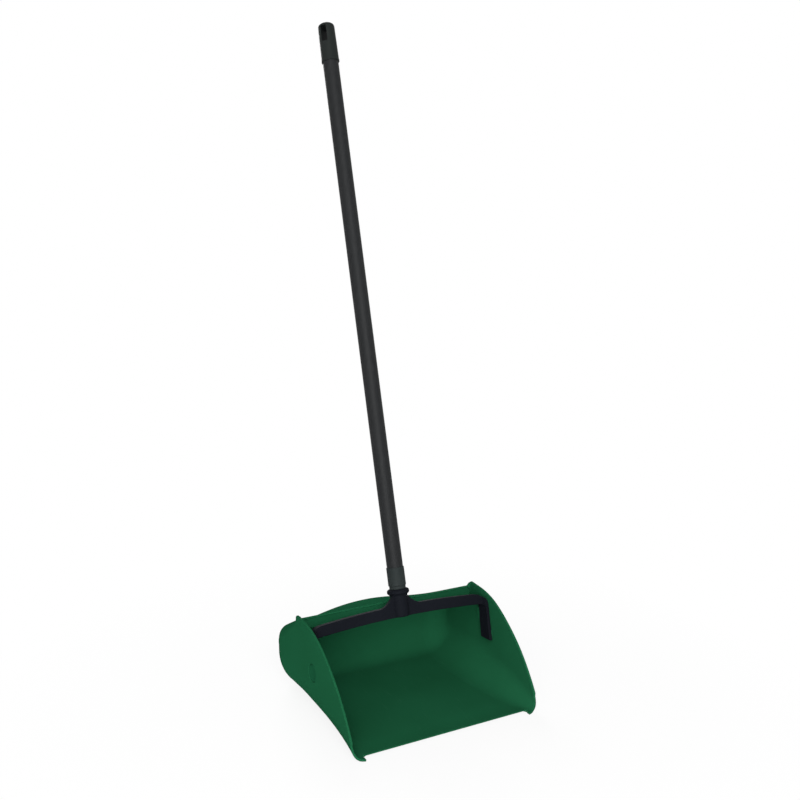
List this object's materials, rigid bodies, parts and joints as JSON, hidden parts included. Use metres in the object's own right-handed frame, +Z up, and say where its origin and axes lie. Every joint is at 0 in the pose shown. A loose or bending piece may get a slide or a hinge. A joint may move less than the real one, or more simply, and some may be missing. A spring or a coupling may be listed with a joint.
{
  "type": "lobby dustpan",
  "caption": "Upright lobby dustpan: green moulded pan with a crowned hood, hinged on a black yoke with a long charcoal handle and a hanging cap.",
  "frame": {"origin": "on the ground, straight below the middle of the hinge axis", "axes": "+Z up, +X along the hinge axis to the right of a user facing the pan's opening from behind the lens, -Y out of the pan's mouth"},
  "size_m": [0.284, 0.4082, 0.9292],
  "materials": {
    "green_moulding": "satin moulded",
    "black_moulding": "satin moulded",
    "coated_tube": "satin coating",
    "grey_moulding": "satin moulded"
  },
  "bodies": {
    "pan_body": {"pan": "green_moulding", "pivot_pin_left": "green_moulding", "pivot_pin_right": "green_moulding"},
    "handle_body": {"yoke": "black_moulding", "handle_tube": "coated_tube", "lower_ferrule": "grey_moulding", "screw_plug": "grey_moulding", "top_cap": "grey_moulding"}
  },
  "joints": [
    {"name": "yoke_hinge", "type": "hinge", "parent": "pan_body", "child": "handle_body", "pos_m": [0, 0, 0.067], "axis": [1, 0, 0], "range_deg": [0, 108]}
  ]
}
